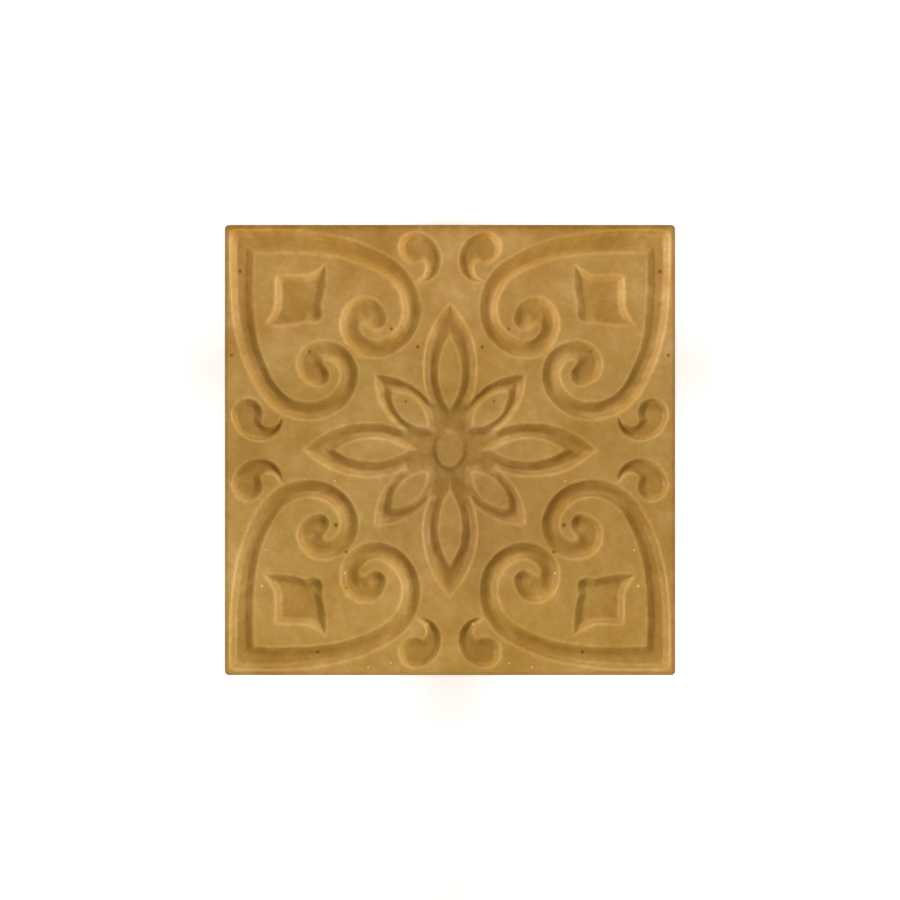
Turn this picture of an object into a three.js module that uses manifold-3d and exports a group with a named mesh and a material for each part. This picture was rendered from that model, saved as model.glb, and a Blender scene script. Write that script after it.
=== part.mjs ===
import * as THREE from 'three';
import Module from 'manifold-3d';

// Square relief tile: one pressed clay body with a sunken ornament in its glazed face.
// Lengths are in millimetres.
// The origin is the centre of the flat back and +Z leaves the glazed face.

// Body
const TILE_SIDE = 150;
const TILE_THICKNESS = 12;
const CORNER_RADIUS = 1.4;
const ARRIS_RADIUS = 1.2;
const ARRIS_STEPS = 3;
const BACK_CHAMFER = 0.5;
const HALF_SIDE = TILE_SIDE / 2;

// Relief: every hollow has the same depth and the same plan width of sloping wall.
const RELIEF_DEPTH = 2;
const WALL_RUN = 2.2;
const TIP_SHARE = 0.9;
const CUTTER_RISE = 1;

// Fineness of the round stretches
const ARC_STEP = THREE.MathUtils.degToRad(12);
const LONGEST_STEP = 8;
const CIRCLE_STEPS = 24;
const CORNER_STEPS = 3;
const LENS_STEPS = 10;

// The ornament is drawn in millimetres on a master square, and scaled as one to the tile's side.
const MASTER_SIDE = 150;
const MASTER_SCALE = TILE_SIDE / MASTER_SIDE;

// Heart in each corner: two mirrored scrolls that start side by side at the tile's corner.
// The middle line of a scroll is a chain of tangent arcs that tighten into a spiral.
const SCROLL_EDGE_GAP = 5.7;
const SCROLL_START = 11.3;
const SCROLL_HEADING = THREE.MathUtils.degToRad(92.7);
const SCROLL_FIRST_WIDTH = 7.9;
const SCROLL_ARCS = [
  { radius: 117, sweep: 11.3, width: 6.9 },
  { radius: 54.6, sweep: 22.4, width: 6.3 },
  { radius: 16.2, sweep: 70, width: 6.1 },
  { radius: 13.1, sweep: 64, width: 6 },
  { radius: 8.6, sweep: 111, width: 6.2 },
  { radius: 5.6, sweep: 60, width: 6.3 },
  { radius: 3.9, sweep: 120, width: 6.4 },
];
const SCROLL_BULB_RADIUS = 3.5;
const SCROLL_THROAT = { x: 29.4, y: 46.5 };
const SCROLL_THROAT_RADIUS = 3;
const SCROLL_JOINT_SHARE = 0.5;
const HEART_OUTER_CORNER = 2.6;
const HEART_INNER_CORNER = 9.8;

// Four-pointed hollow inside each heart: a square body, two curved horns and a round lobe.
const MOTIF_CENTRE = 24.3;
const MOTIF_HALF_SIDE = 7.4;
const MOTIF_CORNER_RADIUS = 1.2;
const HORN_START = { x: 26.5, y: 23.8 };
const HORN_HEADING = THREE.MathUtils.degToRad(-45);
const HORN_FIRST_WIDTH = 12.6;
const HORN_ARCS = [{ radius: 31, sweep: 22.5, width: 0.6 }];
const LOBE_CENTRE = 29.3;
const LOBE_RADIUS = 3.4;

// Comma between two hearts: a round head and a tail that curls round one arc to a fine tip.
const COMMA_HEAD = { x: 7.6, y: 62.9 };
const COMMA_HEAD_RADIUS = 5.1;
const TAIL_START = { x: 7.2, y: 63.6 };
const TAIL_HEADING = THREE.MathUtils.degToRad(90);
const TAIL_FIRST_WIDTH = 9.6;
const TAIL_ARCS = [{ radius: 5.9, sweep: 174, width: 0.8 }];

// Flower: four long and four short leaves, each a lens with a raised lens island in it.
const LONG_LEAF = { middle: 27.2, halfLength: 21.6, halfWidth: 9 };
const LONG_ISLAND = { middle: 25.9, halfLength: 12.2, halfWidth: 3.8 };
const SHORT_LEAF = { middle: 19.6, halfLength: 15.9, halfWidth: 6.8 };
const SHORT_ISLAND = { middle: 19, halfLength: 8.5, halfWidth: 3.7 };
const FLOWER_HEART_RADIUS = 17.5;

// Low oval boss in the middle of the flower
const BOSS_HALF_WIDTH = 4.2;
const BOSS_HALF_LENGTH = 5.4;
const BOSS_HEIGHT = 1.3;

// Quarter turns that repeat a corner or a leaf round the tile
const QUARTER_TURNS = [0, 1, 2, 3];
const QUARTER = Math.PI / 2;
const EIGHTH = Math.PI / 4;

const GLAZE = new THREE.MeshStandardMaterial({
  name: 'glaze',
  color: new THREE.Color('#af8747'),
  roughness: 0.2,
  metalness: 0,
  flatShading: true,
});

const wasm = await Module();
wasm.setup();

// Closed surface through a row of convex rings that all have the same number of points.
// A ring runs anticlockwise when seen from the first ring towards the last one.
function loft(rings) {
  const size = rings[0].length;
  const last = (rings.length - 1) * size;
  const index = [];
  for (let start = 0; start < last; start += size) {
    for (let k = 0; k < size; k += 1) {
      const here = start + k;
      const next = start + ((k + 1) % size);
      index.push(here, here + size, next + size);
      index.push(here, next + size, next);
    }
  }
  for (let k = 1; k + 1 < size; k += 1) {
    index.push(0, k, k + 1);
    index.push(last, last + k + 1, last + k);
  }
  const geometry = new THREE.BufferGeometry();
  geometry.setFromPoints(rings.flat());
  geometry.setIndex(index);
  return geometry;
}

function solidOf(geometry) {
  const mesh = new wasm.Mesh({
    numProp: 3,
    vertProperties: new Float32Array(geometry.getAttribute('position').array),
    triVerts: new Uint32Array(geometry.getIndex().array),
  });
  return new wasm.Manifold(mesh);
}

function geometryOf(solid) {
  const mesh = solid.getMesh();
  const geometry = new THREE.BufferGeometry();
  geometry.setAttribute('position', new THREE.BufferAttribute(new Float32Array(mesh.vertProperties), 3));
  geometry.setIndex(new THREE.BufferAttribute(new Uint32Array(mesh.triVerts), 1));
  geometry.computeVertexNormals();
  return geometry;
}

function joined(solids) {
  return solids.reduce((whole, piece) => whole.add(piece));
}

// Solid of a cutter on the master drawing, at the tile's size and turned about its middle
function placed(geometry, angle = 0) {
  return solidOf(geometry.clone().scale(MASTER_SCALE, MASTER_SCALE, 1).rotateZ(angle));
}

// The same cutter at the four quarter turns of the tile
function aroundTile(geometry, firstAngle = 0) {
  return QUARTER_TURNS.map((turn) => placed(geometry, firstAngle + turn * QUARTER));
}

// Point of the master drawing, measured from its lower left corner
function fromCorner(x, y) {
  return new THREE.Vector2(x - MASTER_SIDE / 2, y - MASTER_SIDE / 2);
}

function atHeight(points, z) {
  return points.map((point) => new THREE.Vector3(point.x, point.y, z));
}

// Mirror image of a loft in the tile's diagonal
function mirrored(rings) {
  return rings.map((ring) => ring.map((point) => new THREE.Vector3(point.y, point.x, point.z)));
}

// Closed outlines, anticlockwise seen from the face
function arcPoints(centre, radius, start, end, steps) {
  return new THREE.ArcCurve(centre.x, centre.y, radius, start, end).getPoints(steps);
}

function circleOutline(centre, radius) {
  return arcPoints(centre, radius, 0, 4 * QUARTER, CIRCLE_STEPS).slice(0, -1);
}

function ovalOutline(halfWidth, halfLength) {
  const curve = new THREE.EllipseCurve(0, 0, halfWidth, halfLength, 0, 4 * QUARTER);
  return curve.getPoints(CIRCLE_STEPS).slice(0, -1);
}

function squareOutline(centre, halfSide, cornerRadius) {
  const reach = halfSide - cornerRadius;
  return QUARTER_TURNS.flatMap((turn) => {
    const start = turn * QUARTER;
    const middle = new THREE.Vector2(centre.x + reach, centre.y + reach).rotateAround(centre, start);
    return arcPoints(middle, cornerRadius, start, start + QUARTER, CORNER_STEPS);
  });
}

// Lens along +X between two equal arcs. Growing it moves both arcs outwards by the same amount.
function lensOutline(leaf, growth) {
  const radius = (leaf.halfLength ** 2 + leaf.halfWidth ** 2) / (2 * leaf.halfWidth);
  const offset = radius - leaf.halfWidth;
  const grown = radius + growth;
  const halfAngle = Math.acos(offset / grown);
  const sides = [
    { centre: new THREE.Vector2(leaf.middle, -offset), facing: QUARTER },
    { centre: new THREE.Vector2(leaf.middle, offset), facing: 3 * QUARTER },
  ];
  return sides.flatMap(({ centre, facing }) => (
    arcPoints(centre, grown, facing - halfAngle, facing + halfAngle, LENS_STEPS).slice(0, -1)
  ));
}

// Cutter with an upright part above the face, a sloping wall and a flat floor.
// The outline is a function of how far it is grown or shrunk.
function hollow(outline) {
  return loft([
    atHeight(outline(0), TILE_THICKNESS + CUTTER_RISE),
    atHeight(outline(0), TILE_THICKNESS),
    atHeight(outline(-WALL_RUN), TILE_THICKNESS - RELIEF_DEPTH),
  ]);
}

// Body that a hollow leaves standing: its wall slopes outwards to the floor.
function island(outline) {
  return loft([
    atHeight(outline(0), TILE_THICKNESS + 2 * CUTTER_RISE),
    atHeight(outline(0), TILE_THICKNESS),
    atHeight(outline(WALL_RUN), TILE_THICKNESS - RELIEF_DEPTH),
    atHeight(outline(WALL_RUN), TILE_THICKNESS - RELIEF_DEPTH - CUTTER_RISE),
  ]);
}

// Stations along tangent arcs that all bend to the right: place, heading and width.
function stationsAlong(start, heading, firstWidth, arcs) {
  const stations = [{ place: start, heading, width: firstWidth }];
  for (const arc of arcs) {
    const from = stations.at(-1);
    const sweep = THREE.MathUtils.degToRad(arc.sweep);
    const steps = Math.ceil(Math.max(sweep / ARC_STEP, (sweep * arc.radius) / LONGEST_STEP));
    const centre = new THREE.Vector2(Math.sin(from.heading), -Math.cos(from.heading));
    centre.multiplyScalar(arc.radius).add(from.place);
    for (let step = 1; step <= steps; step += 1) {
      const share = step / steps;
      const place = from.place.clone().rotateAround(centre, -sweep * share);
      const width = THREE.MathUtils.lerp(from.width, arc.width, share);
      stations.push({ place, heading: from.heading - sweep * share, width });
    }
  }
  return stations;
}

// Section of a groove from its left rim to its right rim. A narrow groove is shallower.
function grooveRing(left, right, wallRun) {
  const run = Math.min(wallRun, (TIP_SHARE * left.distanceTo(right)) / 2);
  const depth = (RELIEF_DEPTH * run) / wallRun;
  const across = right.clone().sub(left).setLength(run);
  return [
    ...atHeight([left], TILE_THICKNESS + CUTTER_RISE),
    ...atHeight([left], TILE_THICKNESS),
    ...atHeight([left.clone().add(across), right.clone().sub(across)], TILE_THICKNESS - depth),
    ...atHeight([right], TILE_THICKNESS),
    ...atHeight([right], TILE_THICKNESS + CUTTER_RISE),
  ];
}

function grooveRings(stations) {
  return stations.map(({ place, heading, width }) => {
    const half = new THREE.Vector2(-Math.sin(heading), Math.cos(heading)).multiplyScalar(width / 2);
    return grooveRing(place.clone().add(half), place.clone().sub(half), WALL_RUN);
  });
}

// Groove on one side of the diagonal and its mirror image on the other side
function groovePair(rings) {
  const partner = mirrored(rings).map((ring) => ring.reverse());
  return [loft(rings), loft(partner)];
}

// Slab with rounded corners, a rounded arris round the face and a small chamfer at the back
function slab() {
  const outline = squareOutline(new THREE.Vector2(), HALF_SIDE, CORNER_RADIUS);
  const inset = (amount, z) => {
    const scale = 1 - amount / HALF_SIDE;
    return atHeight(outline.map((point) => point.clone().multiplyScalar(scale)), z);
  };
  const rings = [];
  for (let step = 0; step <= ARRIS_STEPS; step += 1) {
    const angle = (QUARTER * step) / ARRIS_STEPS;
    const drop = ARRIS_RADIUS * (1 - Math.cos(angle));
    rings.push(inset(ARRIS_RADIUS * (1 - Math.sin(angle)), TILE_THICKNESS - drop));
  }
  rings.push(inset(0, BACK_CHAMFER));
  rings.push(inset(BACK_CHAMFER, 0));
  return solidOf(loft(rings));
}

// A round hollow and its mirror image over the tile's diagonal
function discPair(centre, radius) {
  const otherCentre = new THREE.Vector2(centre.y, centre.x);
  return [centre, otherCentre].map((place) => hollow(
    (growth) => circleOutline(place, radius + growth),
  ));
}

// Both scrolls of one heart as a single groove, mitred where they meet in the corner. A bulb ends
// each scroll, and its throat blunts the tongue of ground that reaches into the spiral. A joint
// between bulb and throat is as wide as the throat and keeps the floor level.
function heartCutters() {
  const start = fromCorner(SCROLL_EDGE_GAP, SCROLL_START);
  const stations = stationsAlong(start, SCROLL_HEADING, SCROLL_FIRST_WIDTH, SCROLL_ARCS);
  const rings = grooveRings(stations);
  const outer = fromCorner(HEART_OUTER_CORNER, HEART_OUTER_CORNER);
  const inner = fromCorner(HEART_INNER_CORNER, HEART_INNER_CORNER);
  const mitre = grooveRing(outer, inner, WALL_RUN * Math.SQRT2);
  const groove = loft([...mirrored(rings).reverse(), mitre, ...rings]);
  const bulb = stations.at(-1).place;
  const throat = fromCorner(SCROLL_THROAT.x, SCROLL_THROAT.y);
  const joint = throat.clone().lerp(bulb, SCROLL_JOINT_SHARE);
  const bulbs = discPair(bulb, SCROLL_BULB_RADIUS);
  const throats = [throat, joint].flatMap((place) => discPair(place, SCROLL_THROAT_RADIUS));
  return [groove, ...bulbs, ...throats].flatMap((cutter) => aroundTile(cutter));
}

function motifCutters() {
  const centre = fromCorner(MOTIF_CENTRE, MOTIF_CENTRE);
  const body = hollow((growth) => squareOutline(centre, MOTIF_HALF_SIDE + growth, MOTIF_CORNER_RADIUS));
  const lobeCentre = fromCorner(LOBE_CENTRE, LOBE_CENTRE);
  const lobe = hollow((growth) => circleOutline(lobeCentre, LOBE_RADIUS + growth));
  const hornStart = fromCorner(HORN_START.x, HORN_START.y);
  const horn = stationsAlong(hornStart, HORN_HEADING, HORN_FIRST_WIDTH, HORN_ARCS);
  const horns = groovePair(grooveRings(horn));
  return [body, lobe, ...horns].flatMap((cutter) => aroundTile(cutter));
}

function commaCutters() {
  const heads = discPair(fromCorner(COMMA_HEAD.x, COMMA_HEAD.y), COMMA_HEAD_RADIUS);
  const tailStart = fromCorner(TAIL_START.x, TAIL_START.y);
  const tail = stationsAlong(tailStart, TAIL_HEADING, TAIL_FIRST_WIDTH, TAIL_ARCS);
  const tails = groovePair(grooveRings(tail));
  return [...heads, ...tails].flatMap((cutter) => aroundTile(cutter));
}

function leafCutters() {
  const longLeaf = hollow((growth) => lensOutline(LONG_LEAF, growth));
  const shortLeaf = hollow((growth) => lensOutline(SHORT_LEAF, growth));
  return [...aroundTile(longLeaf), ...aroundTile(shortLeaf, EIGHTH)];
}

function leafIslands() {
  const longIsland = island((growth) => lensOutline(LONG_ISLAND, growth));
  const shortIsland = island((growth) => lensOutline(SHORT_ISLAND, growth));
  return [...aroundTile(longIsland), ...aroundTile(shortIsland, EIGHTH)];
}

// The boss is lower than the ground, and its wall is as steep as the others.
function bossBody() {
  const floor = TILE_THICKNESS - RELIEF_DEPTH;
  const run = (WALL_RUN * BOSS_HEIGHT) / RELIEF_DEPTH;
  const ring = (growth, z) => (
    atHeight(ovalOutline(BOSS_HALF_WIDTH + growth, BOSS_HALF_LENGTH + growth), z)
  );
  return placed(loft([
    ring(0, floor + BOSS_HEIGHT),
    ring(run, floor),
    ring(run, floor - CUTTER_RISE),
  ]));
}

function flowerCutter() {
  const middle = new THREE.Vector2();
  const heart = hollow((growth) => circleOutline(middle, FLOWER_HEART_RADIUS + growth));
  const sunk = joined([placed(heart), ...leafCutters()]);
  return sunk.subtract(joined([bossBody(), ...leafIslands()]));
}

function tileSolid() {
  const cutters = [flowerCutter(), ...heartCutters(), ...motifCutters(), ...commaCutters()];
  return slab().subtract(joined(cutters));
}

const tile = new THREE.Mesh(geometryOf(tileSolid()), GLAZE);
tile.name = 'relief_tile';

const part = new THREE.Group();
part.name = 'relief_glazed_tile';
part.add(tile);

export default part;
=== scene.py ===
# %% [markdown]
# A relief tile is pressed from clay in a mould, dipped in a coloured glaze and fired. The glaze melts,
# runs off the sharp rims and gathers in the hollows, and that is what makes the ornament readable:
# thin glaze is light, thick glaze is dark. This lesson rebuilds the face as one height surface
# that numpy works out from a few arcs, and then lets the same surface tell how thick the glaze is.

import math

import bpy
import numpy as np
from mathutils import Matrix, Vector


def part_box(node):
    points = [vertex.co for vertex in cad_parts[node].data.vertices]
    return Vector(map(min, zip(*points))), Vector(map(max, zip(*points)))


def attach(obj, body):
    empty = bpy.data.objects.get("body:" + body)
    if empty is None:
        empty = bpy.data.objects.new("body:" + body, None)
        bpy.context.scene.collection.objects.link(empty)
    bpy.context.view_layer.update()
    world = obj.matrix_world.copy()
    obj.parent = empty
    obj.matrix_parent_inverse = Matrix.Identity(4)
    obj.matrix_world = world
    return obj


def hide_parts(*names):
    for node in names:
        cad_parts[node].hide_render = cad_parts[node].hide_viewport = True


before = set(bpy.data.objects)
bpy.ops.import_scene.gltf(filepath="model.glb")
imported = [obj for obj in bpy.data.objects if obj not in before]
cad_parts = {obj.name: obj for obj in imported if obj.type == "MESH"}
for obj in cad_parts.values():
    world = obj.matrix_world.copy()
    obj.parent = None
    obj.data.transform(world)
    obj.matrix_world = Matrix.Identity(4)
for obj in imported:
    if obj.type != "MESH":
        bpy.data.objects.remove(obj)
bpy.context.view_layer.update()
low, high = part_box("relief_tile")
print("tile from the frame, in mm:", [round(1000 * (b - a), 2) for a, b in zip(low, high)])

# %% [markdown]
# Everything below is worked out in millimetres, because that is how a tile maker draws, and is turned
# into metres only when a mesh is made. The tile's side and thickness come from the frame. The ornament
# is drawn on a master square of 150 mm and follows the side if that changes.

# %% The tile and its master drawing
METRES = 0.001
TILE_SIDE = (high.x - low.x) / METRES
TILE_THICKNESS = (high.z - low.z) / METRES
MASTER_SIDE = 150.0
MASTER_SCALE = TILE_SIDE / MASTER_SIDE
HALF_MASTER = MASTER_SIDE / 2

CORNER_RADIUS = 1.4
ARRIS_RADIUS = 1.2
BACK_CHAMFER = 0.5
RELIEF_DEPTH = 2.0

print("side", round(TILE_SIDE, 2), "thickness", round(TILE_THICKNESS, 2), "relief", RELIEF_DEPTH)

# %% [markdown]
# A hand-made mould is never perfectly true. Soft noise from a small grid of random numbers, blended
# smoothly between its points, bends the drawing by a tenth of a millimetre and makes the ground
# gently uneven. The random numbers come from a fixed seed, so every run gives the same tile.


# %% Soft noise
NOISE_POINTS = 256
NOISE_SHIFT = (97.3, 61.7)


def soft_noise(x, y, spacing, seed):
    """Random values on a square grid, blended with weights 3t^2 - 2t^3 between the four nearest."""
    values = np.random.default_rng(seed).uniform(-1.0, 1.0, (NOISE_POINTS, NOISE_POINTS))
    column, row = x / spacing + NOISE_SHIFT[0], y / spacing + NOISE_SHIFT[1]
    c, r = np.floor(column).astype(int), np.floor(row).astype(int)
    tx, ty = column - c, row - r
    tx, ty = tx * tx * (3 - 2 * tx), ty * ty * (3 - 2 * ty)
    c, next_c = c % NOISE_POINTS, (c + 1) % NOISE_POINTS
    r, next_r = r % NOISE_POINTS, (r + 1) % NOISE_POINTS
    near = values[r, c] * (1 - tx) + values[r, next_c] * tx
    far = values[next_r, c] * (1 - tx) + values[next_r, next_c] * tx
    return near * (1 - ty) + far * ty


print("noise at the middle:", round(float(soft_noise(np.zeros(1), np.zeros(1), 9.0, 3)[0]), 3))

# %% [markdown]
# The ornament has four mirror lines. Instead of drawing it eight times, every point of the tile is
# folded into one eighth: first into one quarter by its distances from the nearest corner, then over
# the diagonal by sorting the two distances. One scroll, one horn, one comma and two half leaves are
# then all there is to draw.


# %% Fold the tile into one eighth
def fold_to_corner(x, y):
    """Distances from the nearest corner's two sides, the smaller one first."""
    from_side = HALF_MASTER - np.abs(x)
    from_end = HALF_MASTER - np.abs(y)
    return np.minimum(from_side, from_end), np.maximum(from_side, from_end)


def fold_to_centre(x, y):
    """Distances from the two middle lines, the larger one first."""
    return np.maximum(np.abs(x), np.abs(y)), np.minimum(np.abs(x), np.abs(y))


print("the tile's corner folds to", fold_to_corner(-HALF_MASTER, -HALF_MASTER))

# %% [markdown]
# Each hollow is described by how far inside its rim a point lies: positive inside, negative outside.
# A circle or a lens needs one square root. A scroll is a band that follows a chain of tangent arcs,
# the way it would be drawn with compasses, and a disc that shrinks or grows rolls along it. The
# largest of all the discs' inside distances is the band's own.


# %% Inside distances of circles, lenses, squares and bands
DISC_SPACING = 0.5


def inside_circle(x, y, centre, radius):
    """Radius minus the distance from the centre."""
    return radius - np.hypot(x - centre[0], y - centre[1])


def inside_lens(along, across, lens):
    """Distance inside the arc of a lens whose centre lies on the other side of its axis."""
    middle, half_length, half_width = lens
    radius = (half_length**2 + half_width**2) / (2 * half_width)
    return radius - np.hypot(along - middle, np.abs(across) + radius - half_width)


def inside_square(x, y, centre, half_side, corner_radius):
    """Distance inside a square with rounded corners."""
    dx = np.abs(x - centre) - half_side + corner_radius
    dy = np.abs(y - centre) - half_side + corner_radius
    outside = np.hypot(np.maximum(dx, 0), np.maximum(dy, 0))
    return corner_radius - outside - np.minimum(np.maximum(dx, dy), 0)


def arc_chain(start, heading, first_width, arcs):
    """Points and widths along tangent arcs (radius, sweep in degrees, last width) that bend right."""
    place = np.array(start, float)
    points = [np.array([start], float)]
    widths = [np.array([first_width])]
    for radius, sweep, width in arcs:
        sweep = math.radians(sweep)
        turn = np.linspace(0, sweep, int(radius * sweep / DISC_SPACING) + 2)[1:]
        centre = place + radius * np.array([math.sin(heading), -math.cos(heading)])
        angle = heading + math.pi / 2 - turn
        points.append(centre + radius * np.stack([np.cos(angle), np.sin(angle)], axis=1))
        widths.append(np.interp(turn, [0, turn[-1]], [widths[-1][-1], width]))
        place, heading = points[-1][-1], heading - turn[-1]
    return np.concatenate(points), np.concatenate(widths)


def inside_band(x, y, points, widths):
    """Largest inside distance among the discs that roll along the points."""
    inside = np.full(x.shape, -np.inf)
    for (px, py), width in zip(points, widths):
        np.maximum(inside, width / 2 - np.hypot(x - px, y - py), out=inside)
    return inside


print("a point 3 mm from the middle of a 10 mm disc lies", inside_circle(3, 0, (0, 0), 5), "mm inside")

# %% [markdown]
# Two hollows that meet in clay do not meet in a knife edge: the modeller's tool and the glaze round
# the joint. A smooth maximum does the same. It equals the larger value except where the two are
# within a small distance of each other, and there it adds a soft fillet.


# %% Smooth unions
def soft_max(a, b, blend):
    """The larger of a and b, plus a parabola where they differ by less than blend."""
    near = np.maximum(blend - np.abs(a - b), 0) / blend
    return np.maximum(a, b) + near * near * blend / 4


def soft_min(a, b, blend):
    """The smaller of a and b, rounded the same way."""
    return -soft_max(-a, -b, blend)


print("where two rims cross, a blend of 2 mm adds", soft_max(0, 0, 2), "mm")

# %% [markdown]
# The scroll starts at the tile's corner beside its mirror image. Its outer rim is cut off by the
# rim of that mirror image, with a small rounding, which gives the heart its point. The spiral
# ends in a round bulb, and a round throat blunts the tongue of ground that reaches into it.

# %% Heart scrolls
SCROLL_START = (5.7, 11.3)
SCROLL_HEADING = math.radians(92.7)
SCROLL_FIRST_WIDTH = 7.9
LEAD_IN_START = -4.0
SCROLL_ARCS = (
    (117.0, 11.3, 6.9),
    (54.6, 22.4, 6.3),
    (16.2, 70.0, 6.1),
    (13.1, 64.0, 6.0),
    (8.6, 111.0, 6.2),
    (5.6, 60.0, 6.3),
    (3.9, 120.0, 6.4),
)
BULB_RADIUS = 3.5
THROAT_CENTRE = (29.4, 46.5)
THROAT_RADIUS = 3.0
BULB_FILLET = 0.6
THROAT_FILLET = 2.6
HEART_RIM_GAP = 1.75
HEART_POINT_ROUNDING = 2.4


def inside_scroll(a, b):
    """Band along the arcs, carried straight on into the corner, with the bulb at its end."""
    points, widths = arc_chain(SCROLL_START, SCROLL_HEADING, SCROLL_FIRST_WIDTH, SCROLL_ARCS)
    straight = np.arange(LEAD_IN_START, SCROLL_START[1], DISC_SPACING)
    lead_in = np.stack([np.full_like(straight, SCROLL_START[0]), straight], axis=1)
    points = np.concatenate([lead_in, points])
    widths = np.concatenate([np.full(len(straight), SCROLL_FIRST_WIDTH), widths])
    band = soft_min(inside_band(a, b, points, widths), b - HEART_RIM_GAP, HEART_POINT_ROUNDING)
    bulb = inside_circle(a, b, points[-1], BULB_RADIUS)
    throat = inside_circle(a, b, THROAT_CENTRE, THROAT_RADIUS)
    return soft_max(soft_max(band, bulb, BULB_FILLET), throat, THROAT_FILLET)


print("arcs turn each scroll by", sum(sweep for _, sweep, _ in SCROLL_ARCS), "degrees")

# %% [markdown]
# Inside each heart lies a four-pointed hollow: a square with two curved horns and a round lobe that
# looks at the tile's middle. Folded over the diagonal, one horn is enough.

# %% Four-pointed hollow
MOTIF_CENTRE = 24.3
MOTIF_HALF_SIDE = 7.4
MOTIF_CORNER_RADIUS = 1.2
HORN_START = (26.5, 23.8)
HORN_HEADING = math.radians(-45)
HORN_FIRST_WIDTH = 12.6
HORN_ARCS = ((31.0, 22.5, 0.6),)
LOBE_CENTRE = 29.3
LOBE_RADIUS = 3.4
HORN_FILLET = 0.8
LOBE_FILLET = 1.3


def inside_motif(a, b):
    """Square, horn and lobe joined with small fillets. The horn is drawn below the diagonal."""
    square = inside_square(a, b, MOTIF_CENTRE, MOTIF_HALF_SIDE, MOTIF_CORNER_RADIUS)
    horn = inside_band(b, a, *arc_chain(HORN_START, HORN_HEADING, HORN_FIRST_WIDTH, HORN_ARCS))
    lobe = inside_circle(a, b, (LOBE_CENTRE, LOBE_CENTRE), LOBE_RADIUS)
    return soft_max(soft_max(square, horn, HORN_FILLET), lobe, LOBE_FILLET)


print("the hollow's square is", 2 * MOTIF_HALF_SIDE, "mm wide")

# %% [markdown]
# A comma sits on each side of the middle line between two hearts. Its head is a circle, and its tail
# is a band on one arc that thins to a point, where the glaze later pools darkest.

# %% Commas
COMMA_HEAD = (7.6, 62.9)
COMMA_HEAD_RADIUS = 5.1
TAIL_START = (7.2, 63.6)
TAIL_HEADING = math.radians(90)
TAIL_FIRST_WIDTH = 9.6
TAIL_ARCS = ((5.9, 174.0, 0.8),)
TAIL_STEEPNESS = 1.4
TAIL_FILLET = 0.5


def inside_comma(a, b):
    """Round head and tapering tail, whose inside distance is stretched to keep the thin end deep."""
    head = inside_circle(a, b, COMMA_HEAD, COMMA_HEAD_RADIUS)
    tail = inside_band(a, b, *arc_chain(TAIL_START, TAIL_HEADING, TAIL_FIRST_WIDTH, TAIL_ARCS))
    return soft_max(head, TAIL_STEEPNESS * tail, TAIL_FILLET)


print("a comma's head is", 2 * COMMA_HEAD_RADIUS, "mm wide and its tip", TAIL_ARCS[-1][-1], "mm")

# %% [markdown]
# The flower is eight lenses round a circular hollow. In each leaf a smaller lens is left standing at
# the height of the ground. Along the diagonal the same lens formula works with the axes turned by an
# eighth of a circle. A low oval boss stands in the middle. It is the one thing that is longer one way
# than the other, so it is drawn without folding.

# %% Flower
LONG_LEAF = (27.2, 21.6, 9.0)
LONG_ISLAND = (25.9, 12.2, 3.8)
SHORT_LEAF = (19.6, 15.9, 6.8)
SHORT_ISLAND = (19.0, 8.5, 3.7)
FLOWER_HEART_RADIUS = 17.5
BOSS_HALF_WIDTH = 4.2
BOSS_HALF_LENGTH = 5.4
BOSS_HEIGHT = 1.3
LEAF_FILLET = 0.6
FLOWER_HEART_FILLET = 1.2
TINY = 1e-6


def inside_flower(p, q):
    """Leaves and central circle, with small fillets where they meet."""
    along, across = (p + q) / math.sqrt(2), (p - q) / math.sqrt(2)
    long_leaf, short_leaf = inside_lens(p, q, LONG_LEAF), inside_lens(along, across, SHORT_LEAF)
    leaves = soft_max(long_leaf, short_leaf, LEAF_FILLET)
    return soft_max(leaves, FLOWER_HEART_RADIUS - np.hypot(p, q), FLOWER_HEART_FILLET)


def inside_islands(p, q):
    """Leaf islands: positive on what is left standing."""
    along, across = (p + q) / math.sqrt(2), (p - q) / math.sqrt(2)
    return np.maximum(inside_lens(p, q, LONG_ISLAND), inside_lens(along, across, SHORT_ISLAND))


def inside_boss(x, y):
    """Inside distance of an ellipse: one minus the stretched radius, over that radius's own slope."""
    u, v = x / BOSS_HALF_WIDTH, y / BOSS_HALF_LENGTH
    radius = np.maximum(np.hypot(u, v), TINY)
    slope = np.hypot(u / BOSS_HALF_WIDTH, v / BOSS_HALF_LENGTH) / radius
    return (1 - radius) / slope


print("the flower is", 2 * sum(LONG_LEAF[:2]), "mm across its long leaves")

# %% [markdown]
# One number now tells everything about a point: how far inside the nearest rim it lies, with islands
# counted as outside. The depth follows from it. A wall is steepest just inside its rounded rim and
# runs out on the floor, as glaze over pressed clay does.


# %% Depth of the relief
CURVE_START = 0.10
CURVE_RUN = 2.3
CURVE_BEND = 1.35
RIM_ROUNDING = 0.03
CHANNEL_ROUNDING = 0.8
WIDE_BEND = 0.10
WIDE_BEND_SPACING = 11.0
NARROW_BEND = 0.11
NARROW_BEND_SPACING = 3.7
SIDEWAYS_SEED = 5
UPWARD_SEED = 6
NARROW_SEED_STEP = 10


def wall_curve(inside, run):
    """Depth share 1 - (1 - t)^bend, where t grows from zero at the rim to one on the floor."""
    way = soft_max((inside - CURVE_START) / run, 0, RIM_ROUNDING)
    return 1 - np.maximum(1 - way, 0) ** CURVE_BEND


def bent(x, y, first_seed):
    """Offset of the drawing at a point: a wide and a narrow noise."""
    wide = WIDE_BEND * soft_noise(x, y, WIDE_BEND_SPACING, first_seed)
    return wide + NARROW_BEND * soft_noise(x, y, NARROW_BEND_SPACING, first_seed + NARROW_SEED_STEP)


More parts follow.
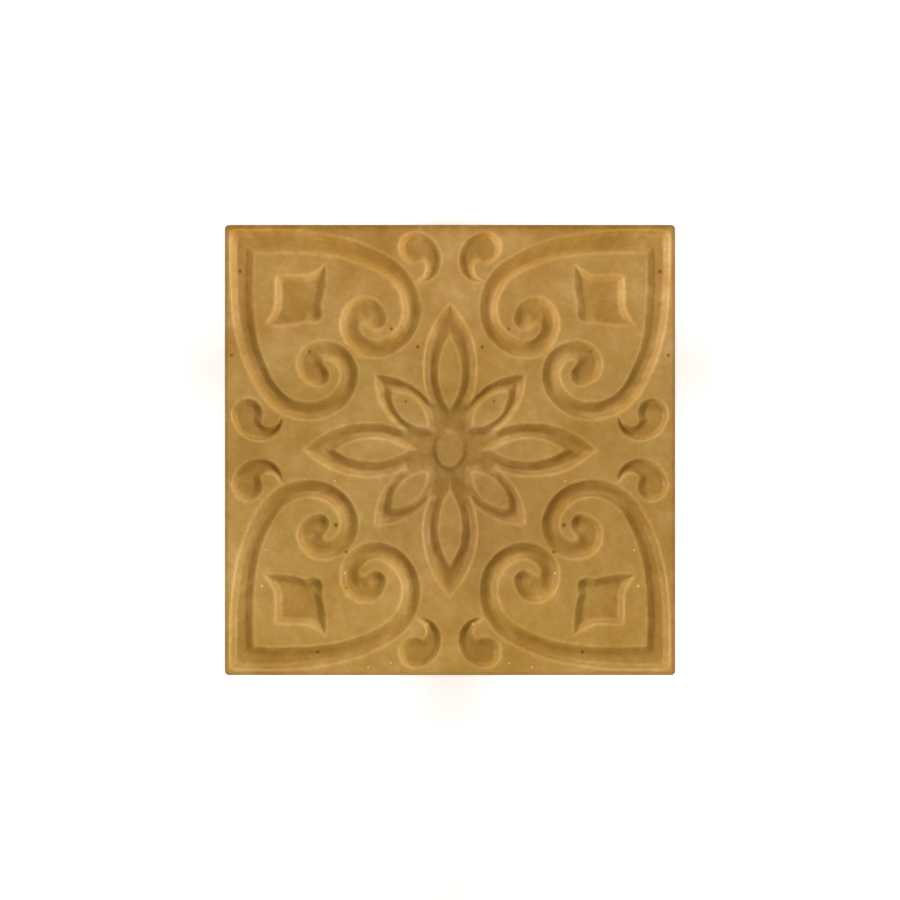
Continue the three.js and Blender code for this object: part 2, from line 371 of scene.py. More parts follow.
def drawn_distances(x, y):
    """Distance inside the nearest rim of hollow or leaf island, and distance outside the boss."""
    x, y = x + bent(x, y, SIDEWAYS_SEED), y + bent(x, y, UPWARD_SEED)
    a, b = fold_to_corner(x, y)
    p, q = fold_to_centre(x, y)
    grooves = np.maximum(inside_scroll(a, b), np.maximum(inside_motif(a, b), inside_comma(a, b)))
    channels = soft_min(inside_flower(p, q), -inside_islands(p, q), CHANNEL_ROUNDING)
    return np.maximum(grooves, channels), -inside_boss(x, y)


def relief(x, y):
    """Share of the full depth at every point of the master drawing."""
    hollow, past_boss = drawn_distances(x, y)
    boss_share = BOSS_HEIGHT / RELIEF_DEPTH
    boss = boss_share * (1 - wall_curve(past_boss, CURVE_RUN * boss_share))
    return wall_curve(hollow, CURVE_RUN) * (1 - boss)


half_way = wall_curve(CURVE_START + CURVE_RUN / 2, CURVE_RUN)
print("half way down a wall the face is", round(RELIEF_DEPTH * float(half_way), 2), "mm deep")

# %% [markdown]
# The mesh is one square sheet laid over the tile like dough over a board. In the middle the sheet lies
# flat on the face. Its border wraps round the arris and down the sides, and a flat fan closes the
# back. A point's distance past the flat part tells how far round the arris it has gone, and its
# direction tells towards which side or corner.

# %% The sheet's grid
FACE_CELLS = 288
CORE = TILE_SIDE / 2 - CORNER_RADIUS
FLAT_RIM = CORNER_RADIUS - ARRIS_RADIUS
ARRIS_STEPS = 5
SIDE_STEPS = 4

arris_turns = np.linspace(0, math.pi / 2, ARRIS_STEPS + 1)
side_heights = np.linspace(TILE_THICKNESS - ARRIS_RADIUS, BACK_CHAMFER, SIDE_STEPS + 1)
profile_reach = np.concatenate([
    [0],
    FLAT_RIM + ARRIS_RADIUS * np.sin(arris_turns),
    np.full(SIDE_STEPS, CORNER_RADIUS),
    [CORNER_RADIUS - BACK_CHAMFER],
])
profile_height = np.concatenate([
    [TILE_THICKNESS],
    TILE_THICKNESS - ARRIS_RADIUS * (1 - np.cos(arris_turns)),
    side_heights[1:],
    [0],
])
border = np.arange(1, len(profile_reach))
step = np.concatenate([-border[::-1], np.zeros(FACE_CELLS + 1, int), border])
core = np.concatenate([
    np.full(len(border), -CORE),
    np.linspace(-CORE, CORE, FACE_CELLS + 1),
    np.full(len(border), CORE),
])
print("grid", len(core), "by", len(core), "points")

# %% [markdown]
# Each point counts its steps past the core in both directions. The larger count names the ring that
# it lies on, and the ring looks up in the profile how far out and how high the point goes. Over the
# corners the two counts also give the direction, so that the corners come out round.


# %% Wrap the sheet over the tile
def wrapped_sheet():
    """Core point plus the profile's reach in the direction of the steps past the core."""
    core_x, core_y = np.meshgrid(core, core)
    step_x, step_y = np.meshgrid(step, step)
    ring = np.maximum(np.abs(step_x), np.abs(step_y))
    length = np.maximum(np.hypot(step_x, step_y), 1)
    reach = profile_reach[ring]
    x = core_x + reach * step_x / length
    y = core_y + reach * step_y / length
    return x, y, profile_height[ring], ring


sheet_x, sheet_y, sheet_z, sheet_ring = wrapped_sheet()
print("rings past the core:", int(sheet_ring.max()))

# %% [markdown]
# A square grid cuts a slanting rim into little stairs, and they show as a ripple in the light. So each
# point that lies near a rim, or near the lines half way down a wall and at its foot, is moved onto
# that line. Half a cell is the most that a point moves, and then no cell collapses.

# %% Snap the grid to the drawing
cell = 2 * CORE / FACE_CELLS
LEAST_SLOPE = 0.7
MOST_SHIFT = 0.5 * cell
SNAP_LINES = (0.1, 1.2, 2.3)


def snapped_sheet(x, y, ring):
    """Adds the gap to the nearest line, along the inside distance's slope, where it is small."""
    nearest = np.full(x.shape, np.inf)
    shift_x, shift_y = np.zeros_like(x), np.zeros_like(y)
    for inside in drawn_distances(x / MASTER_SCALE, y / MASTER_SCALE):
        slope_y, slope_x = np.gradient(inside, cell)
        steep = np.maximum(np.hypot(slope_x, slope_y), LEAST_SLOPE)
        widest = MOST_SHIFT * np.maximum(np.abs(slope_x), np.abs(slope_y))
        for line in SNAP_LINES:
            gap = line - inside
            close = (np.abs(gap) < np.minimum(widest, nearest)) & (steep > LEAST_SLOPE) & (ring == 0)
            nearest = np.where(close, np.abs(gap), nearest)
            shift_x = np.where(close, gap * slope_x / steep**2, shift_x)
            shift_y = np.where(close, gap * slope_y / steep**2, shift_y)
    print("points moved onto a line:", int(np.isfinite(nearest).sum()))
    return x + shift_x, y + shift_y


sheet_x, sheet_y = snapped_sheet(sheet_x, sheet_y, sheet_ring)
depth_share = relief(sheet_x / MASTER_SCALE, sheet_y / MASTER_SCALE)
print("deepest share", round(float(depth_share.max()), 3), "mean", round(float(depth_share.mean()), 3))


# %% [markdown]
# Molten glaze is level where it can be. Blurring the clay's height gives the level it tends to, and
# where that level lies above the clay, at the foot of a wall and in narrow tips, the glaze pools. It
# is thinnest on steep walls and along the rims, because its skin pulls it off edges, and there the
# pale clay shows through a little. That paleness is also painted light: it is raised on the walls to
# stand in for the light that falls on them, more so at the top, and along the rims it is a painted
# highlight. Its share is kept as a measure of its own. A dark band along the upper edge is painted
# shade, which stands in for the shaded arris and is added to the glaze's thickness.


# %% Where the glaze pools and thins, with painted light and painted shade
POOL_REACH = 0.5
POOL_SHARE = 1.3
# Rim paleness is partly thin glaze and partly a painted highlight along the rims.
RIM_PALENESS_AND_HIGHLIGHT = 0.55
RIM_LINE = -0.15
RIM_WIDTH = 0.42
FLOOR_THICKENING = 0.44
# Painted shade along the upper edge, standing in for the shaded arris: its strength, fade and inset.
TOP_SHADE_THICKNESS = 1.3
TOP_SHADE_WIDTH = 1.3
TOP_SHADE_INSET = 0.4
TOP_REGION = (25.0, 50.0)
# Wall paleness is partly thin glaze and partly painted light. At the top it is painted light.
WALL_PALENESS_AND_LIGHT = 0.30
TOP_PAINTED_LIGHT = 0.95
BLUR_DEVIATIONS = 3


def blurred(values, radius, spacing):
    """Gaussian blur along the rows and then along the columns."""
    reach = int(BLUR_DEVIATIONS * radius / spacing) + 1
    weights = np.exp(-0.5 * (np.arange(-reach, reach + 1) * spacing / radius) ** 2)
    weights /= weights.sum()
    for _ in range(2):
        padded = np.pad(values, ((reach, reach), (0, 0)), mode="edge")
        values = sum(w * padded[k : k + values.shape[0]] for k, w in enumerate(weights)).T
    return values


def glaze_thickness(clay, share, spacing):
    """Millimetres more than on the flat: what pools, and a thicker floor."""
    pooled = POOL_SHARE * np.maximum(blurred(clay, POOL_REACH, spacing) - clay, 0)
    return pooled + FLOOR_THICKENING * share


def clay_shows_and_painted_light(clay, inside, y, spacing):
    """Share of pale clay and painted light: by the slope, more so at the top, plus a bell curve along
    the rims.
    """
    slope = np.clip(np.hypot(*np.gradient(clay, spacing)), 0, 1)
    walls_pale_and_lit = slope * np.interp(y, TOP_REGION, (WALL_PALENESS_AND_LIGHT, TOP_PAINTED_LIGHT))
    rims_pale_and_highlit = RIM_PALENESS_AND_HIGHLIGHT * np.exp(-(((inside - RIM_LINE) / RIM_WIDTH) ** 2))
    return walls_pale_and_lit + rims_pale_and_highlit


def top_edge_painted_shade(y):
    """Painted shade along the upper edge, a dark band that fades exponentially away from the edge."""
    return TOP_SHADE_THICKNESS * np.exp(-np.maximum(TILE_SIDE / 2 - TOP_SHADE_INSET - y, 0) / TOP_SHADE_WIDTH)


clay_height = sheet_z - RELIEF_DEPTH * depth_share
clay_height = np.where(sheet_ring > ARRIS_STEPS, TILE_THICKNESS - ARRIS_RADIUS, clay_height)
rim_distance, _ = drawn_distances(sheet_x / MASTER_SCALE, sheet_y / MASTER_SCALE)
# The pooled glaze thickness also carries the painted shade along the upper edge.
pool_and_edge_shade = glaze_thickness(clay_height, depth_share, cell) + top_edge_painted_shade(sheet_y)
# The paleness measure is thin glaze and painted light together.
paleness_and_painted_light = clay_shows_and_painted_light(clay_height, rim_distance, sheet_y, cell) * (sheet_ring == 0)
print("glaze up to", round(float(pool_and_edge_shade.max()), 2), "mm thicker than usual")

# %% [markdown]
# No pressed face is flat. Two noises make waves of a few hundredths of a millimetre in it. They only
# ever take clay away, so that the tile stays inside its measured thickness, and they fade out
# towards the arris.

# %% Heights of the finished face
FACE_WAVES = 0.035
WIDE_WAVE_SPACING = 13.0
NARROW_WAVE_SPACING = 5.0
NARROW_WAVE_SHARE = 0.6
WAVE_SEEDS = (8, 9)
WAVE_FADE = 3.0

wide_waves = soft_noise(sheet_x, sheet_y, WIDE_WAVE_SPACING, WAVE_SEEDS[0])
narrow_waves = soft_noise(sheet_x, sheet_y, NARROW_WAVE_SPACING, WAVE_SEEDS[1])
waves = wide_waves + NARROW_WAVE_SHARE * narrow_waves
on_face = np.clip((CORE - np.maximum(np.abs(sheet_x), np.abs(sheet_y))) / WAVE_FADE, 0, 1)
face_drop = FACE_WAVES * (1 + NARROW_WAVE_SHARE - waves) * on_face
finished_z = sheet_z - RELIEF_DEPTH * depth_share - face_drop
print("waves drop the face by up to", round(float(face_drop.max()), 3), "mm")


# %% [markdown]
# The grid becomes a mesh in a few array steps: two triangles for each cell, and a flat fan of
# triangles over the back, from the sheet's border to one point in the middle. A cell is cut along the
# diagonal whose ends differ less in height, because that one follows the rims. Only the four corner
# cells are cut through the corner itself. Thickness and paleness of the glaze go into the mesh as
# attributes, so that the material can read them. The thickness also carries the painted shade along
# the upper edge, and the paleness carries painted light.


# %% Build the tile
def sheet_triangles(heights):
    """Two triangles for every cell, anticlockwise seen from the face."""
    rows, columns = heights.shape
    index = np.arange(rows * columns).reshape(rows, columns)
    corners = (index[:-1, :-1], index[:-1, 1:], index[1:, 1:], index[1:, :-1])
    rise = np.abs(heights[:-1, :-1] - heights[1:, 1:])
    cut = rise <= np.abs(heights[:-1, 1:] - heights[1:, :-1])
    cut[[0, -1], [0, -1]] = True
    cut[[0, -1], [-1, 0]] = False
    one, two, three, four, cut = (part.ravel() for part in (*corners, cut))
    first = np.stack([one, two, np.where(cut, three, four)], axis=1)
    second = np.stack([np.where(cut, one, two), three, four], axis=1)
    return np.concatenate([first, second])


def sheet_border(rows, columns):
    """The border's points in order, clockwise seen from the face."""
    index = np.arange(rows * columns).reshape(rows, columns)
    sides = (index[:-1, 0], index[-1, :-1], index[:0:-1, -1], index[0, :0:-1])
    return np.concatenate(sides)


def border_fan(border, middle):
    """A triangle from each side of the border to the middle point."""
    return np.stack([border, np.roll(border, -1), np.full(len(border), middle)], axis=1)


def build_tile():
    """The mesh with its two attributes, as an object at the origin."""
    sheet = np.stack([sheet_x, sheet_y, finished_z], axis=-1).reshape(-1, 3)
    points = np.concatenate([sheet, np.zeros((1, 3))]) * METRES
    face = sheet_triangles(finished_z)
    back = border_fan(sheet_border(*sheet_x.shape), len(sheet))
    mesh = bpy.data.meshes.new("pressed_tile")
    mesh.from_pydata(points, [], np.concatenate([face, back]).tolist())
    mesh.polygons.foreach_set("use_smooth", [True] * len(face) + [False] * len(back))
    for name, values in (("pool_and_edge_shade", pool_and_edge_shade), ("paleness_and_painted_light", paleness_and_painted_light)):
        layer = mesh.attributes.new(name, "FLOAT", "POINT")
        layer.data.foreach_set("value", np.append(values.ravel(), 0).astype(np.float32))
    mesh.update()
    tile = bpy.data.objects.new("pressed_tile", mesh)
    bpy.context.scene.collection.objects.link(tile)
    return tile


tile = build_tile()
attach(tile, "root")
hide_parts("relief_tile")
print("tile:", len(tile.data.vertices), "points,", len(tile.data.polygons), "faces")

# %% [markdown]
# A coloured glaze swallows light the way tinted glass does: each extra bit of thickness takes the same
# share of what is left, and it takes more of the blue than of the red. So the colour of the glaze at
# any thickness is the ground's colour times a falling exponential for each of red, green and blue.
# A colour ramp holds a few samples of that curve.

# %% Colours of the glaze
GROUND = (0.468, 0.261, 0.057)
SWALLOWED = (0.28, 0.39, 0.92)
POOL_SPAN = (-0.8, 1.6)


def glaze_colour(extra):
    """Ground colour times exp(-swallowed share times extra thickness), per channel."""
    return [g * math.exp(-s * extra) for g, s in zip(GROUND, SWALLOWED)] + [1.0]


print("pooled glaze", [round(c, 3) for c in glaze_colour(1.0)])

# %% [markdown]
# A material is a tree of nodes. The helpers below make one node each and give back its output, so that
# the materials read like formulas. An input is either a number, a colour or another node's output.


# %% Small helpers for shader nodes
def node(tree, kind, inputs=None, **settings):
    """A new node with its settings and its inputs, given by name or number."""
    made = tree.nodes.new(kind)
    for key, value in settings.items():
        setattr(made, key, value)
    for key, value in (inputs or {}).items():
        if isinstance(value, bpy.types.NodeSocket):
            tree.links.new(value, made.inputs[key])
        else:
            made.inputs[key].default_value = value
    return made


def math_node(tree, operation, a, b=0.0):
    """The output of one sum, product or the like of two numbers."""
    return node(tree, "ShaderNodeMath", {0: a, 1: b}, operation=operation).outputs[0]


def vector_node(tree, operation, a, b=(0, 0, 0)):
    """The outputs of one sum, length or the like of vectors."""
    return node(tree, "ShaderNodeVectorMath", {0: a, 1: b}, operation=operation).outputs


def remap(tree, value, from_low, from_high, to_low=0.0, to_high=1.0, kind="SMOOTHSTEP"):
    """The value carried from one span to another, smoothly and clamped unless told otherwise."""
    ends = {"Value": value, "From Min": from_low, "From Max": from_high}
    ends |= {"To Min": to_low, "To Max": to_high}
    return node(tree, "ShaderNodeMapRange", ends, interpolation_type=kind).outputs["Result"]


def mixed(tree, share, a, b, blend="MIX"):
    """Colour a with the share of colour b blended in."""
    made = node(tree, "ShaderNodeMix", {0: share, 6: a, 7: b}, data_type="RGBA", blend_type=blend)
    return made.outputs[2]


def noise(tree, place, scale, detail=3.0, roughness=0.5):
    """Noise from about 0.2 to 0.8, with so many features in a metre."""
    ends = {"Vector": place, "Scale": scale, "Detail": detail, "Roughness": roughness}
    return node(tree, "ShaderNodeTexNoise", ends, noise_dimensions="3D").outputs["Fac"]


def centred_noise(tree, place, scale, detail, roughness=0.5):
    """The same noise about zero."""
    return math_node(tree, "SUBTRACT", noise(tree, place, scale, detail, roughness), 0.5)


def attribute(tree, name):
    """A value that the mesh carries at every point."""
    return node(tree, "ShaderNodeAttribute", attribute_name=name).outputs["Fac"]


print("node types at hand:", len([name for name in dir(bpy.types) if name.startswith("ShaderNode")]))

# %% [markdown]
# No kiln fires evenly. The glaze is a little thicker in some places than in others, pinker at the top,
# more olive towards the lower edge and darker round the flower. A noise with many octaves gives the
# cloudiness, and a gradient along the tile gives the drift.

# %% Cloudiness and drift
CLOUD_SCALE = 40.0
CLOUD_OCTAVES = 5.0
CLOUD_ROUGHNESS = 0.80
CLOUD_THICKNESS = 3.8
GRAIN_SCALE = 330.0
GRAIN_OCTAVES = 3.0
GRAIN_ROUGHNESS = 0.6
GRAIN_SHARE = 3.2
PATCH_SCALE = 130.0
PATCH_OCTAVES = 3.0
PATCH_ROUGHNESS = 0.6
PATCH_COLOURS = ((1.05, 0.97, 1.10, 1), (0.95, 1.03, 0.90, 1))
OLIVE_DRIFT = (1.01, 1.01, 0.92, 1)
PLAIN_DRIFT = (0.975, 0.965, 0.985, 1)
PINK_DRIFT = (1.075, 1.045, 1.12, 1)
FLOWER_DRIFT = (0.93, 0.91, 0.98, 1)
FLOWER_MIDDLE = (0, -0.018, 0)
FLOWER_REACH = (0.032, 0.040, 1)
OLIVE_SPAN = (-0.055, -0.020)
PINK_SPAN = (0.020, 0.060)
FLOWER_SPAN = (1.1, 0.35)
SPAN_WAVE = 0.06
SPAN_WAVE_SCALE = 34.0
SPAN_WAVE_OCTAVES = 2.0
NO_TINT = (1, 1, 1, 1)


def uneven_thickness(tree, place, pooled):
    """Pooled thickness plus wide clouds everywhere, plus fine grains where the glaze is thick."""
    clouds = centred_noise(tree, place, CLOUD_SCALE, CLOUD_OCTAVES, CLOUD_ROUGHNESS)
    grains = centred_noise(tree, place, GRAIN_SCALE, GRAIN_OCTAVES, GRAIN_ROUGHNESS)
    grainy = math_node(tree, "MULTIPLY", math_node(tree, "MULTIPLY", grains, GRAIN_SHARE), pooled)
    cloudy = math_node(tree, "MULTIPLY", clouds, CLOUD_THICKNESS)
    return math_node(tree, "ADD", pooled, math_node(tree, "ADD", cloudy, grainy))


def kiln_drift(tree, place):
    """Olive below, plain in between and pink above, darker round the middle, and patches of both."""
    axes = node(tree, "ShaderNodeSeparateXYZ", {0: place}).outputs
    wave = centred_noise(tree, place, SPAN_WAVE_SCALE, SPAN_WAVE_OCTAVES)
    wave = math_node(tree, "MULTIPLY", wave, SPAN_WAVE)
    upward = math_node(tree, "ADD", axes["Y"], wave)
    below = mixed(tree, remap(tree, upward, *OLIVE_SPAN), OLIVE_DRIFT, PLAIN_DRIFT)
    drift = mixed(tree, remap(tree, upward, *PINK_SPAN), below, PINK_DRIFT)
    from_middle = vector_node(tree, "SUBTRACT", place, FLOWER_MIDDLE)["Vector"]
    scaled = vector_node(tree, "DIVIDE", from_middle, FLOWER_REACH)["Vector"]
    far = vector_node(tree, "LENGTH", scaled)["Value"]
    flower = mixed(tree, remap(tree, far, *FLOWER_SPAN), NO_TINT, FLOWER_DRIFT)
    patchy = noise(tree, place, PATCH_SCALE, PATCH_OCTAVES, PATCH_ROUGHNESS)
    patches = mixed(tree, patchy, *PATCH_COLOURS)
    drift = mixed(tree, 1.0, drift, patches, blend="MULTIPLY")
    return mixed(tree, 1.0, drift, flower, blend="MULTIPLY")


print("clouds about", round(1000 / CLOUD_SCALE), "mm wide, grains", round(1000 / GRAIN_SCALE), "mm")

# %% [markdown]
# Gas that escapes from the clay leaves dark pinholes, and small lumps in the glaze carry pale specks
# that are painted glints of light.
# They are too fine for the mesh, so the material measures how far a point is from each of them. The
# places are given as on the tile, in millimetres from its middle, and each speck has a twin on
# the other side of the middle line.

# %% Pinholes, and lumps with painted glints
PINHOLES = (
    (-70.0, 59.5, 0.55),
    (-44.1, -67.3, 0.55),
    (-72.6, 31.5, 0.45),
    (-10.7, 34.3, 0.50),
    (-37.9, -25.0, 0.60),
    (-46.8, 32.7, 0.40),
    (-19.5, 40.3, 0.40),
    (-34.5, -33.9, 0.45),
    (-14.7, 16.1, 0.35),
)
# Lumps whose pale specks are painted glints.
GLINT_LUMPS = (
    (-62.6, -45.3, 0.50),
    (-35.0, -41.0, 0.45),
    (-61.3, -33.3, 0.35),
    (-27.2, -72.3, 0.40),
    (-19.7, -70.9, 0.35),
    (-38.3, -10.4, 0.35),
    (-7.7, -58.0, 0.45),
)
FAR_AWAY = 100.0


def nearest_speck(tree, place, specks):
    """Distance past the edge of the nearest speck, in millimetres, negative inside it."""
    axes = node(tree, "ShaderNodeSeparateXYZ", {0: place}).outputs
    sideways = math_node(tree, "MULTIPLY", math_node(tree, "ABSOLUTE", axes["X"]), -1 / METRES)
    upward = math_node(tree, "DIVIDE", axes["Y"], METRES)
    folded = node(tree, "ShaderNodeCombineXYZ", {0: sideways, 1: upward}).outputs[0]
    nearest = FAR_AWAY
    for x, y, radius in specks:
        from_speck = vector_node(tree, "DISTANCE", folded, (x, y, 0))["Value"]
        past_edge = math_node(tree, "SUBTRACT", from_speck, radius)
        nearest = math_node(tree, "MINIMUM", nearest, past_edge)
    return nearest


print(2 * len(PINHOLES), "pinholes and", 2 * len(GLINT_LUMPS), "pale specks")

# %% [markdown]
# The glaze stops a few millimetres above the tile's back, where the maker wiped it off so that the
# tile would not stick to the kiln shelf. Below that line lies bare fired clay.

# %% Colour of glaze and clay
RAMP_STOPS = 7
# Whiter, bluer tint of thin glaze, which also paints light on the walls and highlights on the rims.
PALE_AND_LIT_TINT = (1.36, 1.42, 1.60, 1)
PIT_COLOUR = (0.19, 0.085, 0.014, 1)
PIT_EDGE = (0.35, -0.25)
# Painted glint: a pale colour on each lump, standing in for a highlight.
PAINTED_GLINT_COLOUR = (0.72, 0.50, 0.22, 1)
PAINTED_GLINT_EDGE = (0.20, -0.35)
CLAY_COLOUR = (0.50, 0.29, 0.17, 1)
CLAY_DARK = (0.40, 0.215, 0.12, 1)
CLAY_GRAIN_SCALE = 600.0
CLAY_GRAIN_OCTAVES = 4.0
GLAZE_LINE = 3.6
GLAZE_LINE_SOFTNESS = 0.15
GLAZE_LINE_WAVE = 0.0035
GLAZE_LINE_WAVE_SCALE = 90.0
GLAZE_LINE_WAVE_OCTAVES = 3.0


def glaze_ramp(tree, extra):
    """Samples of the swallowing curve on a colour ramp."""
    ramp = node(tree, "ShaderNodeValToRGB", {0: remap(tree, extra, *POOL_SPAN, kind="LINEAR")})
    stops = np.linspace(0, 1, RAMP_STOPS)
    while len(ramp.color_ramp.elements) < RAMP_STOPS:
        ramp.color_ramp.elements.new(0.5)
    for element, stop in zip(ramp.color_ramp.elements, stops):
        element.position = stop
        element.color = glaze_colour(POOL_SPAN[0] + stop * (POOL_SPAN[1] - POOL_SPAN[0]))
    return ramp.outputs["Color"]


def glazed_colour(tree, place, pit, lump_glint):
    """The ramp's colour times drift and the paleness that also paints light, with pinholes and painted
    glints laid over it.
    """
    extra = uneven_thickness(tree, place, attribute(tree, "pool_and_edge_shade"))
    colour = mixed(tree, 1.0, glaze_ramp(tree, extra), kiln_drift(tree, place), blend="MULTIPLY")
    # Paleness lightens the colour: thin glaze, painted light on the walls and painted highlights on the
    # rims.
    pale_and_lit_tint = mixed(tree, attribute(tree, "paleness_and_painted_light"), NO_TINT, PALE_AND_LIT_TINT)
    colour = mixed(tree, 1.0, colour, pale_and_lit_tint, blend="MULTIPLY")
    colour = mixed(tree, remap(tree, pit, *PIT_EDGE), colour, PIT_COLOUR)
    # The pale specks on the lumps are painted glints.
    return mixed(tree, remap(tree, lump_glint, *PAINTED_GLINT_EDGE), colour, PAINTED_GLINT_COLOUR)


def clay_colour(tree, place):
    """Fired clay with fine lighter and darker grains."""
    grain = noise(tree, place, CLAY_GRAIN_SCALE, CLAY_GRAIN_OCTAVES)
    return mixed(tree, grain, CLAY_DARK, CLAY_COLOUR)


def glazed_share(tree, place):
    """One above the wavy line where the glaze stops, and zero below it."""
    height = node(tree, "ShaderNodeSeparateXYZ", {0: place}).outputs["Z"]
    wave = centred_noise(tree, place, GLAZE_LINE_WAVE_SCALE, GLAZE_LINE_WAVE_OCTAVES)
    wave = math_node(tree, "MULTIPLY", wave, GLAZE_LINE_WAVE)
    level = math_node(tree, "DIVIDE", math_node(tree, "ADD", height, wave), METRES)
    return remap(tree, level, GLAZE_LINE - GLAZE_LINE_SOFTNESS, GLAZE_LINE + GLAZE_LINE_SOFTNESS)


print("the glaze stops", GLAZE_LINE, "mm above the back")

# %% [markdown]
# Clay is dull, and this glaze is only half glossy. Its skin has shallow dimples. A pinhole is a dent
# in it, and under each painted glint lies a lump. All three are finer than the mesh, so they go into a
# bump, which tilts the surface's normal and leaves the shape alone.

# %% Gloss and bumps
GLAZE_ROUGHNESS = 0.46
GLAZE_SPECULAR = 0.32
CLAY_ROUGHNESS = 0.85
GLOSS_SCALE = 60.0
GLOSS_CHANGE = 0.12
DIMPLE_SCALE = 420.0
DIMPLE_OCTAVES = 2.0
DIMPLE_HEIGHT = 0.35
DENT_SPAN = (-0.4, 0.25)
DENT_DEPTH = 0.4
LUMP_SPAN = (-0.4, 0.2)
LUMP_HEIGHT = 0.8
BUMP_STRENGTH = 0.35
BUMP_DISTANCE = 0.0003


def gloss(tree, place, glazed):
    """Roughness of clay, or of a glaze that changes a little from place to place."""
    change = math_node(tree, "MULTIPLY", noise(tree, place, GLOSS_SCALE), GLOSS_CHANGE)
    on_glaze = math_node(tree, "ADD", change, GLAZE_ROUGHNESS - GLOSS_CHANGE / 2)
    return node(tree, "ShaderNodeMix", {0: glazed, 2: CLAY_ROUGHNESS, 3: on_glaze}).outputs[0]


def bumps(tree, place, pit, lump_glint):
    """The normal, tilted by dimples, by dents at the pinholes and by lumps under the painted glints."""
    skin = noise(tree, place, DIMPLE_SCALE, DIMPLE_OCTAVES)
    dimples = math_node(tree, "MULTIPLY", skin, DIMPLE_HEIGHT)
    dents = remap(tree, pit, *DENT_SPAN, -DENT_DEPTH, 0.0)
    lumps = remap(tree, lump_glint, *LUMP_SPAN, LUMP_HEIGHT, 0.0)
    height = math_node(tree, "ADD", dimples, math_node(tree, "ADD", dents, lumps))
    ends = {"Strength": BUMP_STRENGTH, "Distance": BUMP_DISTANCE, "Height": height}
    return node(tree, "ShaderNodeBump", ends).outputs["Normal"]


def honey_glaze():
    """Glaze above its line and clay below it, in one surface."""
    material = bpy.data.materials.new("honey_glaze")
    material.use_nodes = True
    tree = material.node_tree
    tree.nodes.clear()
    place = node(tree, "ShaderNodeTexCoord").outputs["Object"]
    pit = nearest_speck(tree, place, PINHOLES)
    lump_glint = nearest_speck(tree, place, GLINT_LUMPS)
    glazed = glazed_share(tree, place)
    colour = glazed_colour(tree, place, pit, lump_glint)
    ends = {
        "Base Color": mixed(tree, glazed, clay_colour(tree, place), colour),
        "Roughness": gloss(tree, place, glazed),
        "Normal": bumps(tree, place, pit, lump_glint),
        "Specular IOR Level": GLAZE_SPECULAR,
    }
    surface = node(tree, "ShaderNodeBsdfPrincipled", ends)
    node(tree, "ShaderNodeOutputMaterial", {"Surface": surface.outputs["BSDF"]})
    return material


tile.data.materials.append(honey_glaze())
print("nodes in the glaze:", len(tile.data.materials[0].node_tree.nodes))

# %% [markdown]
# The photograph looks straight down on a white ground. A long lens at one metre keeps the sides of the
# tile hidden, as they are in the photograph.

# %% Camera
PHOTO_PIXELS = 900
TILE_PIXELS = 451
LENS = 120.0
SENSOR = 36.0
view_width = TILE_SIDE * METRES * PHOTO_PIXELS / TILE_PIXELS
camera_height = view_width * LENS / SENSOR

camera_data = bpy.data.cameras.new("camera")
camera_data.lens = LENS
camera_data.sensor_width = SENSOR
camera = bpy.data.objects.new("camera", camera_data)
camera.location = (0, 0, TILE_THICKNESS * METRES + camera_height)
bpy.context.scene.collection.objects.link(camera)
bpy.context.scene.camera = camera
print("camera", round(camera_height, 3), "m above the face")

# %% [markdown]
# The ground in the photograph is pure white and has no shadow on it. A large pale floor that glows a
# little comes close to that. It lies a hair below the back, so that the two faces never coincide.

# %% Floor
FLOOR_COLOUR = (0.90, 0.90, 0.90, 1)
FLOOR_ROUGHNESS = 0.9
FLOOR_GLOW = 0.62
GLOW_COLOUR = (1, 1, 1, 1)
FLOOR_REACH = 20.0
FLOOR_DROP = 0.0002


def pale_floor():
    """A square floor with a matt paint that gives off a little light."""
    mesh = bpy.data.meshes.new("floor")
    around = ((-1, -1), (1, -1), (1, 1), (-1, 1))
    corners = [(x * FLOOR_REACH, y * FLOOR_REACH, 0) for x, y in around]
    mesh.from_pydata(corners, [], [(0, 1, 2, 3)])
    floor = bpy.data.objects.new("floor", mesh)
    floor.location.z = -FLOOR_DROP
    bpy.context.scene.collection.objects.link(floor)
    material = bpy.data.materials.new("floor_paint")
    material.use_nodes = True
    shader = material.node_tree.nodes["Principled BSDF"]
    shader.inputs["Base Color"].default_value = FLOOR_COLOUR
    shader.inputs["Roughness"].default_value = FLOOR_ROUGHNESS
    shader.inputs["Emission Color"].default_value = GLOW_COLOUR
    shader.inputs["Emission Strength"].default_value = FLOOR_GLOW
    mesh.materials.append(material)
    return floor


pale_floor()
print("floor reaches", FLOOR_REACH, "m each way")

# %% [markdown]
# The photograph is one half of a tile with its mirror image beside it, so each half is lit from its
# neighbour's side. A lamp with a grid sends its light one way only, like the sun through a window,
# and stops at an edge. One on each side of the tile lights the other half up to the middle line. A
# third one, at the back, lights all but the tile's upper quarter, and a steep one fills in that
# quarter.

# %% Lamps
BEAM_REACH = 0.14
BEAM_LENGTH = 0.34
BEAM_DISTANCE = 0.12
BEAM_SPREAD = math.radians(14)
KEY_COLOUR = (0.98, 1.0, 1.04)


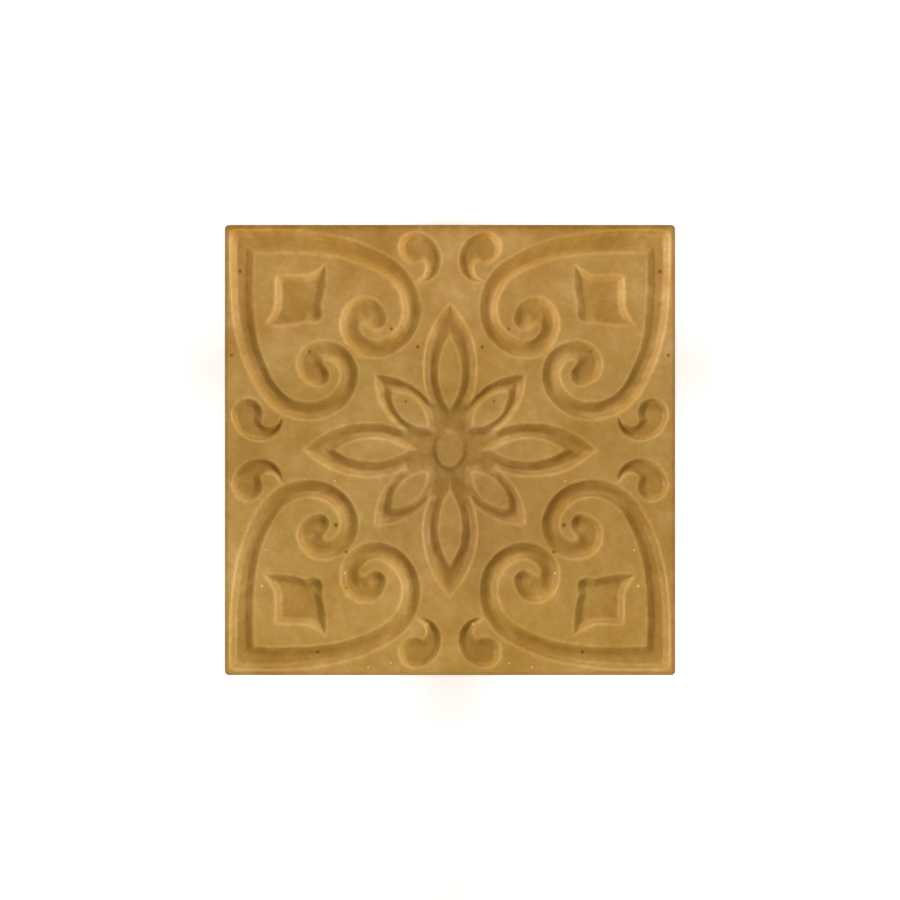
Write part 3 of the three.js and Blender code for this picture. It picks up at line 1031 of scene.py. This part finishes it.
def gridded_box(name, azimuth, slant, edge, level, mirrored=True):
    """Almost parallel light of the given level on the ground, up to an edge line."""
    azimuth, slant = math.radians(azimuth), math.radians(slant)
    outward = Vector((math.cos(azimuth), math.sin(azimuth), 0))
    toward_lamp = outward * math.sin(slant) + Vector((0, 0, math.cos(slant)))
    data = bpy.data.lights.new(name, "AREA")
    data.shape = "RECTANGLE"
    data.size = BEAM_REACH * math.cos(slant)
    data.size_y = BEAM_LENGTH
    data.spread = BEAM_SPREAD
    data.energy = level * math.pi * BEAM_REACH * BEAM_LENGTH
    data.color = KEY_COLOUR
    lamp = bpy.data.objects.new(name, data)
    middle = outward * (edge - BEAM_REACH / 2) + Vector((0, 0, TILE_THICKNESS * METRES))
    lamp.location = middle + toward_lamp * BEAM_DISTANCE
    lamp.rotation_euler = (0, slant, azimuth)
    lamp.visible_camera = False
    lamp.visible_glossy = mirrored
    bpy.context.scene.collection.objects.link(lamp)
    return lamp


SIDE_LEVEL = 0.325
SIDE_SLANT = 53
BACK_LEVEL = 0.19
BACK_SLANT = 58
ABOVE_LEVEL = 0.16
ABOVE_SLANT = 12
BACK_EDGE = 0.035

lamps = [
    gridded_box("beam_from_right", 0, SIDE_SLANT, 0.0, SIDE_LEVEL),
    gridded_box("beam_from_left", 180, SIDE_SLANT, 0.0, SIDE_LEVEL),
    gridded_box("beam_from_back", 90, BACK_SLANT, BACK_EDGE, BACK_LEVEL),
    gridded_box("beam_from_above", -90, ABOVE_SLANT, -BACK_EDGE, ABOVE_LEVEL, mirrored=False),
]
print("lamps:", [lamp.name for lamp in lamps])

# %% [markdown]
# Even light from all round fills the shadows. What the glaze mirrors is bright only overhead and nearly
# black near the horizon, like a studio with a pale ceiling and dark walls. Without that a grey
# veil would lie over the colour wherever a wall is seen at a low angle.

# %% World
WORLD_STRENGTH = 0.44
WORLD_COLOUR = (1.0, 0.972, 0.87, 1)
GLOSS_OVERHEAD = 0.50
GLOSS_HORIZON = 0.05
GLOSS_SPAN = (0.1, 0.9)


def studio_world():
    """Even light for matt surfaces, and dark walls below a brighter ceiling for what is mirrored."""
    world = bpy.data.worlds.new("studio")
    world.use_nodes = True
    tree = world.node_tree
    way = node(tree, "ShaderNodeTexCoord").outputs["Generated"]
    upward = node(tree, "ShaderNodeSeparateXYZ", {0: way}).outputs["Z"]
    mirrored = remap(tree, upward, *GLOSS_SPAN, GLOSS_HORIZON, GLOSS_OVERHEAD)
    glossy = node(tree, "ShaderNodeLightPath").outputs["Is Glossy Ray"]
    strength = node(tree, "ShaderNodeMix", {0: glossy, 2: WORLD_STRENGTH, 3: mirrored}).outputs[0]
    background = tree.nodes["Background"]
    background.inputs["Color"].default_value = WORLD_COLOUR
    tree.links.new(strength, background.inputs["Strength"])
    return world


bpy.context.scene.world = studio_world()
bpy.context.scene.view_settings.view_transform = "Standard"
print("world:", bpy.context.scene.world.name, "at", WORLD_STRENGTH)

# %% [markdown]
